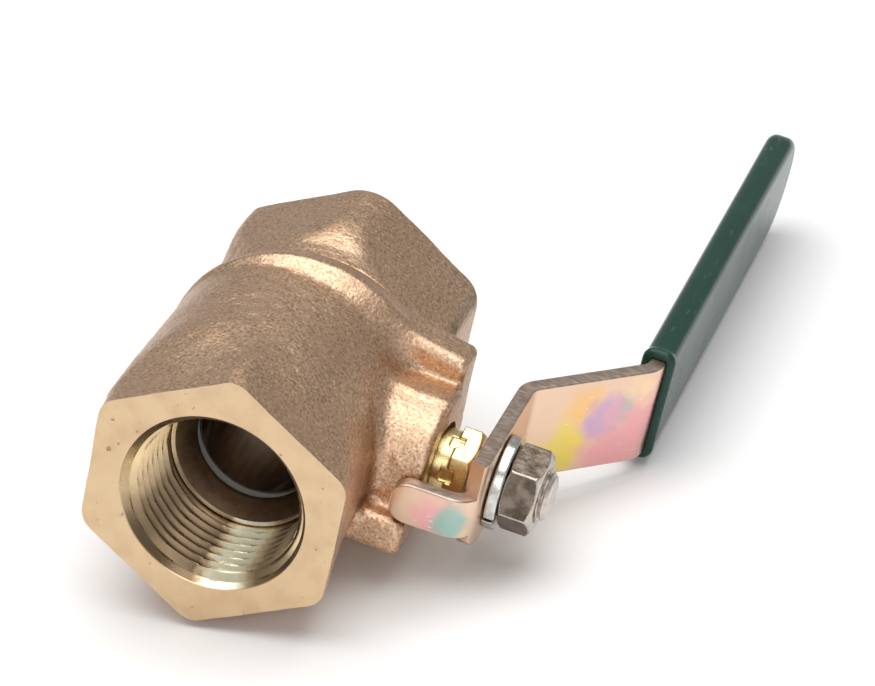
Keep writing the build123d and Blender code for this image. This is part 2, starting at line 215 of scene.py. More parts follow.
def swept(outline, stations):
    """Closed solid through stations; each is (centre, first axis, second axis, half depth, half width)."""
    count = len(outline)
    points = []
    for centre, first, second, depth, width in stations:
        for p, q, a, b in outline:
            offset = np.array(first) * (p * depth + a)
            points.append(np.array(centre) + offset + np.array(second) * (q * width + b))
    faces = []
    for i in range(len(stations) - 1):
        for j in range(count):
            k = (j + 1) % count
            faces.append([i * count + j, i * count + k, (i + 1) * count + k, (i + 1) * count + j])
    faces.append(list(range(count))[::-1])
    faces.append(list(range((len(stations) - 1) * count, len(stations) * count)))
    return points, faces


def cut(made, points, faces, operation="DIFFERENCE"):
    """Cut a closed solid out of a piece, or add it with UNION, and apply the result."""
    mesh = bpy.data.meshes.new("cutter")
    mesh.from_pydata(np.asarray(points, float).tolist(), [], [list(f) for f in faces])
    mesh.transform(place)
    cutter = bpy.data.objects.new("cutter", mesh)
    bpy.context.scene.collection.objects.link(cutter)
    boolean = made.modifiers.new("cut", "BOOLEAN")
    boolean.operation = operation
    boolean.solver = "MANIFOLD"
    boolean.object = cutter
    depsgraph = bpy.context.evaluated_depsgraph_get()
    result = bpy.data.meshes.new_from_object(made.evaluated_get(depsgraph))
    made.modifiers.clear()
    made.data = result
    bpy.data.objects.remove(cutter)


def crease(made, degrees):
    """Keep edges sharper than this angle crisp."""
    made.data.shade_smooth()
    made.data.set_sharp_from_angle(angle=math.radians(degrees))


def own_axes(made):
    """Face centres and normals of a piece in the valve's axes, mm."""
    count = len(made.data.polygons)
    centre, normal = np.zeros(count * 3), np.zeros(count * 3)
    made.data.polygons.foreach_get("center", centre)
    made.data.polygons.foreach_get("normal", normal)
    back = np.array(Matrix.Rotation(-rest_turn, 3, "Y"))
    return centre.reshape(-1, 3) @ back.T / MM, normal.reshape(-1, 3) @ back.T


def paint(made, chosen, index):
    """Give the chosen faces a material by its index."""
    kept = np.zeros(len(made.data.polygons), np.int32)
    made.data.polygons.foreach_get("material_index", kept)
    kept[chosen] = index
    made.data.polygons.foreach_set("material_index", kept)


# ================================================================ distance tools
def ease(value, start, end):
    """Smooth step from 0 at the start to 1 at the end."""
    share = np.clip((value - start) / (end - start), 0, 1)
    return share * share * (3 - 2 * share)


def join(a, b, blend):
    """Union with a fillet."""
    share = np.clip(0.5 + 0.5 * (b - a) / blend, 0, 1)
    return b * (1 - share) + a * share - blend * share * (1 - share)


def keep(a, b, blend):
    """Intersection with a rounded edge."""
    return -join(-a, -b, blend)


def block(a, b, half_a, half_b, radius):
    """Distance to a rounded rectangle centred on the origin."""
    p, q = np.abs(a) - half_a + radius, np.abs(b) - half_b + radius
    return np.hypot(np.maximum(p, 0), np.maximum(q, 0)) + np.minimum(np.maximum(p, q), 0) - radius


def hexagon(a, b, apothems, radii, turn=0.0):
    """Distance to a rounded hexagon; its first flat is square to a, and the others go round from it."""
    sides = []
    for k, apothem in enumerate(apothems):
        angle = turn + k * TAU / 6
        sides.append(a * math.cos(angle) + b * math.sin(angle) - apothem)
    distance = sides[0]
    for side in sides[1:]:
        distance = np.maximum(distance, side)
    for one, two, radius in zip(sides, sides[1:] + sides[:1], radii):
        one, two = one + radius, two + radius
        corner = np.sqrt(np.maximum(one * one + two * two - one * two, 0) / 0.75) - radius
        distance = np.where((one > two / 2) & (two > one / 2), np.maximum(distance, corner), distance)
    return distance


def rumple(x, y, z, cell, height):
    """Smooth random swells, one value to each cell of the space, for the unevenness of a casting."""
    weights, counts = [], []
    for axis in (x, y, z):
        place_in = (axis.ravel() - axis.min()) / cell
        first = np.floor(place_in).astype(int)
        share = ease(place_in - first, 0, 1)
        weights.append((first, share))
        counts.append(first.max() + 2)
    swell = random.standard_normal(counts).astype(np.float32)
    for axis, (first, share) in enumerate(weights):
        shape = [1, 1, 1]
        shape[axis] = len(share)
        share = share.reshape(shape).astype(np.float32)
        swell = np.take(swell, first, axis) * (1 - share) + np.take(swell, first + 1, axis) * share
    return swell * height


# ================================================================ material tools
class Paint:
    """A node material under construction."""

    def __init__(self, name, base, metallic, roughness, **sockets):
        self.material = bpy.data.materials.new(name)
        self.material.use_nodes = True
        self.tree = self.material.node_tree
        self.shader = self.tree.nodes["Principled BSDF"]
        self.coordinates = self.node("ShaderNodeTexCoord").outputs["Object"]
        self.colour = None
        self.height = None
        self.rough = None
        self.shader.inputs["Base Color"].default_value = (*base, 1)
        self.base = base
        self.shader.inputs["Metallic"].default_value = metallic
        self.shader.inputs["Roughness"].default_value = roughness
        self.roughness = roughness
        for socket, value in sockets.items():
            self.shader.inputs[socket.replace("_", " ")].default_value = value

    def node(self, kind, **inputs):
        made = self.tree.nodes.new(kind)
        for key, value in inputs.items():
            self.feed(made.inputs[key.replace("_", " ")], value)
        return made

    def feed(self, socket, value):
        if isinstance(value, bpy.types.NodeSocket):
            self.tree.links.new(value, socket)
        else:
            socket.default_value = value

    def noise(self, size, detail=3.0, stretch=(1, 1, 1), roughness=0.55, shift=0.0):
        """Noise from 0 to 1 with features of a size in mm, stretched along the axes."""
        mapping = self.node("ShaderNodeMapping", Vector=self.coordinates)
        mapping.inputs["Scale"].default_value = [1 / (size * MM * s) for s in stretch]
        mapping.inputs["Location"].default_value = (shift, shift * 1.7, shift * 0.6)
        made = self.node("ShaderNodeTexNoise", Vector=mapping.outputs[0])
        made.inputs["Scale"].default_value = 1.0
        made.inputs["Detail"].default_value = detail
        made.inputs["Roughness"].default_value = roughness
        return made.outputs[0]

    def ramp(self, value, *stops):
        """Map a value through stops of (place, level or colour)."""
        made = self.node("ShaderNodeValToRGB", Fac=value)
        points = made.color_ramp.elements
        while len(points) < len(stops):
            points.new(0.5)
        for point, (where, level) in zip(points, stops):
            point.position = where
            point.color = (*level, 1) if isinstance(level, tuple) else (level, level, level, 1)
        return made.outputs[0]

    def maths(self, operation, a, b=0.0, c=0.0):
        made = self.node("ShaderNodeMath")
        made.operation = operation
        for socket, value in zip(made.inputs, (a, b, c)):
            self.feed(socket, value)
        return made.outputs[0]

    def mix(self, share, a, b):
        """Mix two colours."""
        made = self.node("ShaderNodeMix")
        made.data_type = "RGBA"
        self.feed(made.inputs[0], share)
        for socket, value in ((made.inputs[6], a), (made.inputs[7], b)):
            self.feed(socket, (*value, 1) if isinstance(value, tuple) else value)
        return made.outputs[2]

    def tint(self, share, colour):
        """Lay a colour over the base where share is high."""
        self.colour = self.mix(share, self.colour if self.colour is not None else self.base, colour)

    def raise_by(self, value, amount):
        """Add to the bump height, in mm."""
        lift = self.maths("MULTIPLY", value, amount)
        self.height = lift if self.height is None else self.maths("ADD", self.height, lift)

    def roughen(self, value, amount):
        """Vary the roughness about its middle by amount, where value is 0 to 1."""
        start = self.rough if self.rough is not None else self.roughness - amount / 2
        self.rough = self.maths("MULTIPLY_ADD", value, amount, start)

    def blob(self, centre, size):
        """A soft ragged patch about a point in the valve's axes, mm."""
        soft, wander, grain = 0.9, 0.8, 5.0
        middle = place @ Vector(centre)
        shifted = self.node("ShaderNodeVectorMath", Vector=self.coordinates)
        shifted.operation = "SUBTRACT"
        shifted.inputs[1].default_value = middle
        length = self.node("ShaderNodeVectorMath", Vector=shifted.outputs[0])
        length.operation = "LENGTH"
        reach = self.maths("MULTIPLY", length.outputs["Value"], 1 / (size * MM))
        ragged = self.maths("MULTIPLY_ADD", self.noise(grain, 2, shift=centre[1]), 2 * wander, reach)
        made = self.node("ShaderNodeMapRange", Value=ragged)
        made.interpolation_type = "SMOOTHSTEP"
        made.inputs["From Min"].default_value = 1 + wander - soft / 2
        made.inputs["From Max"].default_value = 1 + wander + soft / 2
        made.inputs["To Min"].default_value = 1.0
        made.inputs["To Max"].default_value = 0.0
        return made.outputs["Result"]

    def done(self):
        if self.colour is not None:
            self.tree.links.new(self.colour, self.shader.inputs["Base Color"])
        if self.rough is not None:
            self.tree.links.new(self.rough, self.shader.inputs["Roughness"])
        if self.height is not None:
            bump = self.node("ShaderNodeBump", Height=self.height)
            bump.inputs["Distance"].default_value = MM
            self.tree.links.new(bump.outputs["Normal"], self.shader.inputs["Normal"])
        return self.material


def cast_bronze():
    """Sand-cast bronze: sandy grain, darker in the pits, bright on the high grains."""
    finish = Paint("cast_bronze", (0.64, 0.43, 0.28), 1.0, 0.38)
    sand = finish.noise(0.55, 3, roughness=0.6)
    lumps = finish.noise(2.4, 3, shift=3.0)
    stain = finish.noise(11.0, 3, shift=9.0)
    finish.tint(finish.ramp(sand, (0.36, 0.8), (0.5, 0.0)), (0.30, 0.19, 0.12))
    finish.tint(finish.ramp(sand, (0.58, 0.0), (0.70, 0.9)), (0.95, 0.76, 0.55))
    finish.tint(finish.ramp(stain, (0.4, 0.0), (0.7, 0.35)), (0.60, 0.38, 0.27))
    finish.raise_by(sand, 0.10)
    finish.raise_by(lumps, 0.16)
    finish.roughen(lumps, 0.16)
    return finish.done()


def machined_bronze():
    """Turned bronze of the end faces and bores: fine arcs, a few dings and dull patches."""
    finish = Paint("machined_bronze", (0.68, 0.50, 0.31), 1.0, 0.33)
    around = finish.node("ShaderNodeSeparateXYZ", Vector=finish.coordinates)
    radius = finish.maths("SQRT", finish.maths("ADD", finish.maths("POWER", around.outputs[0], 2.0),
                                               finish.maths("POWER", around.outputs[2], 2.0)))
    rings = finish.node("ShaderNodeTexNoise")
    rings.noise_dimensions = "1D"
    finish.feed(rings.inputs["W"], finish.maths("MULTIPLY", radius, 1 / (0.25 * MM)))
    rings.inputs["Scale"].default_value = 1.0
    patches = finish.noise(5.0, 4, shift=2.0)
    dings = finish.ramp(finish.noise(1.6, 2, shift=5.0), (0.70, 0.0), (0.76, 1.0))
    finish.tint(finish.ramp(patches, (0.42, 0.0), (0.72, 0.6)), (0.55, 0.38, 0.23))
    finish.tint(dings, (0.38, 0.25, 0.15))
    finish.raise_by(rings.outputs[0], 0.008)
    finish.raise_by(dings, -0.05)
    finish.raise_by(finish.noise(0.8, 3), 0.02)
    finish.roughen(patches, 0.18)
    return finish.done()


def thread_bronze():
    """Cut bronze with painted reflections: a painted bright band round the pipe and painted dark bands
    beside it, set by the angle round the pipe, with lines along the cut.
    """
    finish = Paint("thread_bronze", (0.86, 0.66, 0.40), 1.0, 0.28)
    streaks = finish.noise(0.35, 2, stretch=(1, 0.4, 1))
    patches = finish.noise(4.0, 3, shift=4.0)
    place_in = finish.node("ShaderNodeSeparateXYZ", Vector=finish.coordinates)
    around = finish.maths("ARCTAN2", place_in.outputs[2], place_in.outputs[0])
    around = finish.maths("MULTIPLY_ADD", around, 1 / TAU, 0.5)
    around = finish.maths("SUBTRACT", around, 0.015)
    around = finish.maths("MULTIPLY_ADD", finish.noise(2.0, 2, shift=7.0), 0.03, around)
    # painted reflections: dark bands and one bright band of colour, placed by the angle round the pipe and
    # fixed to the scene
    painted_dark_reflection = finish.ramp(around, (0.0, 0.35), (0.05, 0.8), (0.205, 0.92), (0.222, 0.0), (0.295, 0.0),
                          (0.325, 0.72), (0.40, 0.72), (0.43, 0.15), (0.95, 0.0), (1.0, 0.35))
    bright = finish.ramp(around, (0.215, 0.0), (0.235, 1.0), (0.285, 1.0), (0.305, 0.0))
    finish.tint(finish.ramp(patches, (0.45, 0.0), (0.75, 0.4)), (0.66, 0.46, 0.26))
    # lay on the painted dark reflections, then the painted bright reflection
    finish.tint(painted_dark_reflection, (0.11, 0.070, 0.042))
    finish.tint(bright, (1.0, 0.94, 0.70))
    finish.raise_by(streaks, 0.015)
    finish.roughen(patches, 0.16)
    return finish.done()


def plated_steel(name, patches):
    """Yellow-chromate zinc plate: peach metal with patches of other tints, and fine scratches."""
    finish = Paint(name, (0.80, 0.58, 0.42), 1.0, 0.34)
    for centre, size, colour in patches:
        finish.tint(finish.blob(centre, size), colour)
    wander = finish.noise(9.0, 4, shift=6.0)
    scratches = finish.ramp(finish.noise(0.5, 2, stretch=(3, 14, 1.0), shift=8.0), (0.70, 0.0), (0.74, 0.7))
    finish.tint(scratches, (0.93, 0.90, 0.88))
    finish.tint(finish.ramp(wander, (0.5, 0.0), (0.8, 0.35)), (0.70, 0.55, 0.50))
    finish.raise_by(finish.noise(0.5, 2, stretch=(3, 14, 1.0), shift=8.0), 0.012)
    finish.raise_by(finish.noise(2.5, 3), 0.03)
    finish.roughen(wander, 0.2)
    return finish.done()


def plate_edge():
    """Sheared edge of the lever plate: brown-grey, drawn across its thickness."""
    finish = Paint("plate_edge", (0.40, 0.30, 0.24), 1.0, 0.40)
    drawn = finish.noise(0.7, 3, stretch=(3, 1, 3))
    finish.tint(finish.ramp(drawn, (0.4, 0.0), (0.65, 0.7)), (0.62, 0.52, 0.45))
    finish.raise_by(drawn, 0.05)
    finish.roughen(drawn, 0.2)
    return finish.done()


def green_vinyl():
    """Dipped vinyl: dark green, glossy, with faint orange peel, scuffs and dust."""
    finish = Paint("green_vinyl", (0.006, 0.040, 0.027), 0.0, 0.26, Specular_IOR_Level=0.32)
    scuffs = finish.ramp(finish.noise(1.1, 3, stretch=(1, 4, 1), shift=4.0), (0.62, 0.0), (0.72, 0.35))
    cloud = finish.noise(14.0, 3)
    finish.tint(finish.ramp(cloud, (0.35, 0.0), (0.7, 0.5)), (0.009, 0.052, 0.036))
    finish.tint(scuffs, (0.06, 0.15, 0.12))
    finish.raise_by(finish.noise(2.2, 2), 0.03)
    finish.raise_by(finish.noise(0.4, 2), 0.006)
    finish.roughen(cloud, 0.12)
    return finish.done()


def nut_steel():
    """Oily plated steel of the lever nut's flats, with dark blotches."""
    finish = Paint("nut_steel", (0.30, 0.24, 0.19), 1.0, 0.32)
    oil = finish.noise(2.6, 4, shift=2.0)
    finish.tint(finish.ramp(oil, (0.38, 0.85), (0.62, 0.0)), (0.10, 0.075, 0.055))
    finish.raise_by(finish.noise(0.9, 3), 0.08)
    finish.roughen(oil, 0.22)
    return finish.done()


def worn_metal(name, base, roughness):
    """Plain metal in any colour, with fine wear."""
    finish = Paint(name, base, 1.0, roughness)
    worn = finish.noise(1.5, 4)
    finish.tint(finish.ramp(worn, (0.35, 0.6), (0.6, 0.0)), tuple(0.55 * level for level in base))
    finish.raise_by(finish.noise(0.6, 3), 0.03)
    finish.roughen(worn, 0.2)
    return finish.done()


def gland_brass():
    """Yellow brass of the packing nut, with turning lines."""
    finish = Paint("gland_brass", (0.90, 0.76, 0.40), 1.0, 0.25)
    worn = finish.noise(2.0, 4)
    finish.tint(finish.ramp(worn, (0.4, 0.5), (0.6, 0.0)), (0.62, 0.48, 0.22))
    finish.raise_by(finish.noise(0.4, 2), 0.02)
    finish.roughen(worn, 0.2)
    return finish.done()


def ball_chrome():
    """Chrome plate on the ball, dulled, with its colour darkened as painted shade for the inside of the
    valve.
    """
    finish = Paint("ball_chrome", (0.22, 0.17, 0.14), 1.0, 0.16)
    haze = finish.noise(3.0, 3)
    finish.tint(finish.ramp(haze, (0.4, 0.3), (0.7, 0.0)), (0.16, 0.13, 0.11))
    finish.roughen(haze, 0.08)
    finish.raise_by(finish.noise(0.5, 2), 0.003)
    return finish.done()


def white_ptfe():
    """Waxy white PTFE of the seats, seal and packing."""
    finish = Paint("white_ptfe", (0.80, 0.80, 0.76), 0.0, 0.42, Subsurface_Weight=0.1)
    lines = finish.noise(1.2, 3)
    finish.tint(finish.ramp(lines, (0.4, 0.3), (0.7, 0.0)), (0.66, 0.66, 0.61))
    finish.raise_by(lines, 0.01)
    finish.roughen(lines, 0.15)
    return finish.done()


CAST = cast_bronze()
MACHINED = machined_bronze()
THREADED = thread_bronze()
# bore colour: oily cast bronze, darkened well below the casting's own colour as painted shade deep inside
# the pipe
BORE_OIL_AND_SHADE = worn_metal("bore_oil_and_painted_shade", (0.16, 0.105, 0.065), 0.5)
PINK, TEAL, VIOLET = (0.84, 0.42, 0.42), (0.34, 0.50, 0.44), (0.60, 0.40, 0.56)
YELLOW, ORANGE, PEACH = (0.82, 0.66, 0.14), (0.88, 0.55, 0.24), (0.88, 0.64, 0.42)
PLATED = plated_steel("plated_steel", [
    ((48.0, 27.0, 3.5), 5.0, ORANGE),
    ((46.0, 25.0, -4.5), 5.5, YELLOW),
    ((52.0, 31.0, 1.5), 5.0, VIOLET),
    ((56.5, 36.0, 3.5), 4.0, TEAL),
    ((59.0, 40.0, 1.0), 8.0, PINK),
    ((54.0, 34.0, -6.5), 7.0, PINK),
    ((57.0, 37.0, 7.0), 4.0, PEACH),
    ((34.0, -16.0, -1.0), 4.0, PINK),
    ((37.0, -16.0, -1.5), 3.2, TEAL),
])
EDGE = plate_edge()
GRIP = green_vinyl()
NUT = nut_steel()
RIM = worn_metal("nut_rim", (0.60, 0.54, 0.48), 0.28)
LOCK = worn_metal("lock_steel", (0.72, 0.71, 0.68), 0.22)
STEM_STEEL = worn_metal("stem_steel", (0.66, 0.60, 0.55), 0.34)
BRASS = gland_brass()
CHROME = ball_chrome()
PTFE = white_ptfe()


# ================================================================ castings
def body_shape(x, y, z):
    """Hexagon fading to the barrel, the collar, the stem tower, and the stop and lug beside it."""
    end = hexagon(x + HEXAGON_DRIFT * ease(y, INLET, DRIFT_END), z, NEAR_HEXAGON, NEAR_ROUNDS)
    barrel = np.hypot(x + BARREL_BACK, z) - BARREL
    share = ease(y, *BARREL_FADE)
    shape = keep(end * (1 - share) + barrel * share, y - BARREL_END, blend=1.0)
    collar_radius = np.interp(y.ravel(), COLLAR_PLACES, COLLAR_RADII)
    collar = np.hypot(x + COLLAR_BACK, z) - collar_radius.reshape(y.shape)
    collar = keep(collar, np.abs(y - COLLAR_MIDDLE) - COLLAR_HALF, blend=0.8)
    shape = join(shape, collar, blend=1.2)
    tower = np.hypot(y, z) - BOSS - BOSS_DRAFT * (BOSS_TOP - x)
    tower = keep(tower, np.abs(x - BOSS_MIDDLE) - BOSS_HALF, blend=1.2)
    shape = join(shape, tower, blend=2.6)
    top = STOP_TOP + STOP_SLOPE * (BOSS_TOP - x)
    stop = block(y - STOP_MIDDLE, z - (top + STOP_FOOT) / 2, STOP_HALF, (top - STOP_FOOT) / 2, radius=2.0)
    web_y, web_z = WEB_MIDDLE
    web = block(y - web_y, z - web_z + WEB_SLOPE * (y - web_y), *WEB_HALF, radius=1.0)
    stop = keep(join(stop, web, blend=1.6), np.abs(x - BOSS_MIDDLE) - STOP_REACH, blend=1.2)
    shape = join(shape, stop, blend=2.0)
    lug_y, lug_z = LUG_MIDDLE
    lug = block(y - lug_y, z - lug_z, *LUG_HALF, radius=2.2)
    lug = keep(lug, np.abs(x - BOSS_MIDDLE) - LUG_REACH, blend=2.0)
    shape = join(shape, lug, blend=2.4)
    return shape + rumple(x, y, z, SWELL_CELL, height=0.10) + rumple(x, y, z, GRAIN_CELL, GRAIN)


def bore(face, inward):
    """Radii and places of a pipe end's bore: the face's cut, entry chamfer, helical thread and port."""
    steps, samples = 288, 14             # round the pipe, and along one turn of the thread
    angle = np.arange(steps) / steps
    radii, along = [CLEAR, CLEAR, MOUTH], [face - inward * FACE_CUT, face, face]
    for k in range(1, int(THREAD_DEPTH / PITCH * samples)):
        depth = k * PITCH / samples
        phase = (depth / PITCH + inward * angle) % 1
        tooth = np.clip(TOOTH_RISE * (1 - np.abs(2 * phase - 1)) - TOOTH_FLAT, 0, 1)
        full = 1 - ease(depth, THREAD_DEPTH - RUNOUT, THREAD_DEPTH)
        taper = depth * THREAD_TAPER
        thread = THREAD_CREST - taper + (THREAD_ROOT - THREAD_CREST) * tooth * full
        radii.append(np.maximum(thread, MOUTH - MOUTH_SLOPE * depth))
        along.append(face + inward * depth)
    for past, radius in BEHIND_THREAD:
        radii.append(radius)
        along.append(face + inward * (THREAD_DEPTH + past))
    return radii, along, steps


def body_casting():
    points, quads = surface((-28, -38.2, -28), (32, 18, 28), CASTING_STEP, body_shape)
    finishes = (CAST, MACHINED, THREADED, BORE_OIL_AND_SHADE)
    made = piece("body_casting", points, quads, "valve_body", "cast_bronze", *finishes)
    radii, along, steps = bore(INLET, 1)
    socket, seal_face = NOSE + NOSE_GAP, NOSE_START - SEAL
    radii += [PORT, SEAT_POCKET, SEAT_POCKET, CAVITY, CAVITY, socket, socket]
    along += [-SEAT_BACK, -SEAT_BACK, CAVITY_START, CAVITY_START, seal_face, seal_face, JOINT + OVERCUT]
    cut(made, *turned(radii, along, steps, "Y"))
    cut(made, *turned([radius for _, radius in STEM_HOLE], [x for x, _ in STEM_HOLE], 96, "X"))
    centre, _ = own_axes(made)
    y, radius = centre[:, 1], np.hypot(centre[:, 0], centre[:, 2])
    off_stem = np.hypot(y, centre[:, 2]) > STEM_CLEAR
    inside = (radius < MOUTH + PAINT_OVER) & (y < JOINT) & off_stem
    paint(made, inside | (np.abs(y - INLET) < ON_FACE), 1)
    # the bore past the thread gets the dark bore colour: oily cast bronze with painted shade
    paint(made, inside & (y > INLET + THREAD_DEPTH - DARK_OVERLAP), 3)
    paint(made, inside & (radius > PORT_PAINT) & (y < INLET + THREAD_DEPTH) & (y > INLET + FACE_MARGIN), 2)
    crease(made, CASTING_CREASE)
    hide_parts("body")


def connector_shape(x, y, z):
    """Shoulder, then a hexagon whose corners rise from it on a slope."""
    radius = np.hypot(x, z)
    shape = hexagon(x, z, FAR_HEXAGON, FAR_ROUNDS)
    slope = (radius - SHOULDER - SHOULDER_RISE * (y - SHOULDER_START)) * SHOULDER_SCALE
    shape = keep(shape, slope, blend=0.8)
    shape = keep(shape, HEXAGON_START - y, blend=1.0)
    neck = keep(radius - NECK, NECK_START - y, blend=0.6)
    neck = keep(neck, y - NECK_END, blend=0.6)
    shape = join(shape, neck, blend=0.8)
    shape = keep(shape, y - UNCUT_END, blend=1.0)
    return shape + rumple(x, y, z, SWELL_CELL, height=0.12) + rumple(x, y, z, GRAIN_CELL, GRAIN)


def connector_casting():
    points, quads = surface((-28, 14.5, -28), (28, 44, 28), CASTING_STEP, connector_shape)
    finishes = (CAST, MACHINED, THREADED, BORE_OIL_AND_SHADE)
    made = piece("connector_casting", points, quads, "valve_body", "cast_bronze", *finishes)
    nose_radii, nose_along = [NOSE, NOSE, NOSE - NOSE_CHAMFER], [NOSE_ROOT, NOSE_START + 1, NOSE_START]
    cut(made, *turned(nose_radii, nose_along, 192, "Y"), operation="UNION")
    radii, along, steps = bore(OUTLET, -1)
    radii += [PORT, SEAT_POCKET, SEAT_POCKET, NOSE_BORE, NOSE_BORE]
    along += [SEAT_BACK, SEAT_BACK, NOSE_START + NOSE_BORE_DEPTH, NOSE_START, NOSE_START - 2]
    cut(made, *turned(radii, along, steps, "Y"))
    centre, _ = own_axes(made)
    y, radius = centre[:, 1], np.hypot(centre[:, 0], centre[:, 2])
    inside = (radius < MOUTH + PAINT_OVER) | (y < NOSE_PAINT)
    paint(made, inside | (np.abs(y - OUTLET) < ON_FACE), 1)
    # the port past the seat gets the dark bore colour: oily cast bronze with painted shade
    paint(made, (radius < PORT_PAINT) & (y > SEAT_BACK), 3)
    threaded = (y > OUTLET - THREAD_DEPTH) & (y < OUTLET - FACE_MARGIN)
    paint(made, (radius < MOUTH) & (radius > PORT_PAINT) & threaded, 2)
    crease(made, CASTING_CREASE)
    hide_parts("end_connector")


# ================================================================ lever
def rotated(vector, angle):
    """A plane vector turned by an angle."""
    c, s = math.cos(angle), math.sin(angle)
    return np.array([c * vector[0] - s * vector[1], s * vector[0] + c * vector[1]])


def arc_path(corners, radii, step_angle=math.radians(6)):
    """Points and directions along straight runs joined by tangent arcs, in the X-Y plane."""
    corners = [np.array(c, float) for c in corners]
    path = [(corners[0], (corners[1] - corners[0]) / np.linalg.norm(corners[1] - corners[0]))]
    for before, at, after, radius in zip(corners, corners[1:], corners[2:], radii):
        u = (at - before) / np.linalg.norm(at - before)
        v = (after - at) / np.linalg.norm(after - at)
        turn = math.atan2(u[0] * v[1] - u[1] * v[0], u @ v)
        side = math.copysign(1.0, turn)
        start = at - u * radius * math.tan(abs(turn) / 2)
        centre = start + side * radius * np.array([-u[1], u[0]])
        count = max(2, round(abs(turn) / step_angle))
        for k in range(count + 1):
            angle = turn * k / count
            path.append((centre + rotated(start - centre, angle), rotated(u, angle)))
    path.append((corners[-1], path[-1][1]))
    return path


def rounded_outline(radius, count=5):
    """Outline of a round-cornered rectangle: signs of the half sizes, plus an offset inside the corner."""
    outline = []
    for p, q, start in ((1, 1, 0), (-1, 1, 1), (-1, -1, 2), (1, -1, 3)):
        for k in range(count):
            angle = (start + k / (count - 1)) * TAU / 4
            outline.append((p, q, radius * (math.cos(angle) - p), radius * (math.sin(angle) - q)))
    return outline


def lever_stations():
    """Sections of the plate, from the tab's rounded foot, over the shoulder and both bends, to the tip."""
    middle = LEVER_FOOT + PLATE / 2
    corners = [(TAB_FOOT, TAB_PLANE), (middle, TAB_PLANE), (middle, LOWER_BEND),
               (GRIP_PLANE, UPPER_BEND), (GRIP_PLANE, LEVER_END)]
    path = arc_path(corners, [TAB_BEND, BEND, BEND])
    shoulder = TAB_PLANE + PLATE / 2 + SHOULDER_GAP
    tab = [(point, way) for point, way in path if point[1] < shoulder]
    plate = [(point, way) for point, way in path if point[1] >= shoulder]
    first = plate[0][0][1]
    plate += [(np.array([middle, first + step]), np.array([0.0, 1.0])) for step in range(1, 14)]
    plate.sort(key=lambda station: station[0][1])
    stations = []

    def lay(point, way, low, high):
        """Add a section across the way, from low to high along Z."""
        across = np.array([-way[1], way[0], 0.0])
        centre = (point[0], point[1], (low + high) / 2)
        stations.append((centre, across, (0, 0, 1), PLATE / 2, (high - low) / 2))

    tab_middle, tab_half = (TAB_LOW + TAB_HIGH) / 2, (TAB_HIGH - TAB_LOW) / 2
    foot, way = tab[0]
    foot_steps = 9
    for step in range(foot_steps + 1):
        angle = step / foot_steps * TAU / 4
        half = tab_half * (FOOT_WIDTH + (1 - FOOT_WIDTH) * math.sin(angle))
        lay(foot + way * FOOT_ROUND * (1 - math.cos(angle)), way, tab_middle - half, tab_middle + half)
    for point, way in tab[1:]:
        lay(point, way, TAB_LOW, TAB_HIGH)
    turn, ahead = (tab[-1][0] + plate[0][0]) / 2, plate[0][1]
    near_edge = TAB_LOW - TAB_RELIEF
    lay(turn, ahead, TAB_LOW, TAB_HIGH)
    lay(turn, ahead, near_edge, HALF_WIDTH)
    for point, way in plate[:-1]:
        inset = 1 - min((point[1] - shoulder) / SHOULDER_ROUND, 1)
        lay(point, way, near_edge - (HALF_WIDTH + near_edge) * math.sqrt(1 - inset ** 2), HALF_WIDTH)
    tip_steps = 8
    for k in range(tip_steps + 1):
        angle = k / tip_steps * TAU / 4
        half = max(HALF_WIDTH * math.cos(angle), TIP_HALF)
        lay((GRIP_PLANE, LEVER_END - HALF_WIDTH * (1 - math.sin(angle))), plate[-1][1], -half, half)
    return stations


def lever_plate():
    points, faces = swept(rounded_outline(PLATE_ROUND), lever_stations())
    made = piece("lever_plate", points, faces, "handle", "plated_steel", PLATED, EDGE)
    flip_if_inside_out(made)
    steps = 48
    hole = []
    for k in range(steps):
        angle = k * TAU / steps
        hole.append((STEM * math.cos(angle), max(-STEM_FLAT, min(STEM_FLAT, STEM * math.sin(angle)))))
    ring = [(x, y, z) for x in (LEVER_FOOT - 1, LEVER_FOOT + PLATE + 1) for y, z in hole]
    sides = [[k, (k + 1) % steps, steps + (k + 1) % steps, steps + k] for k in range(steps)]
    cut(made, ring, sides + [list(range(steps))[::-1], list(range(steps, 2 * steps))])
    _, normal = own_axes(made)
    paint(made, np.abs(normal[:, 2]) > EDGE_FACING, 1)
    crease(made, 30)
    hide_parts("lever")


def flip_if_inside_out(made):
    """Turn the faces round if the closed mesh has its normals inwards."""
    centre, normal = own_axes(made)
    area = np.zeros(len(made.data.polygons))
    made.data.polygons.foreach_get("area", area)
    if (np.einsum("ij,ij->i", centre, normal) * area).sum() < 0:
        made.data.flip_normals()


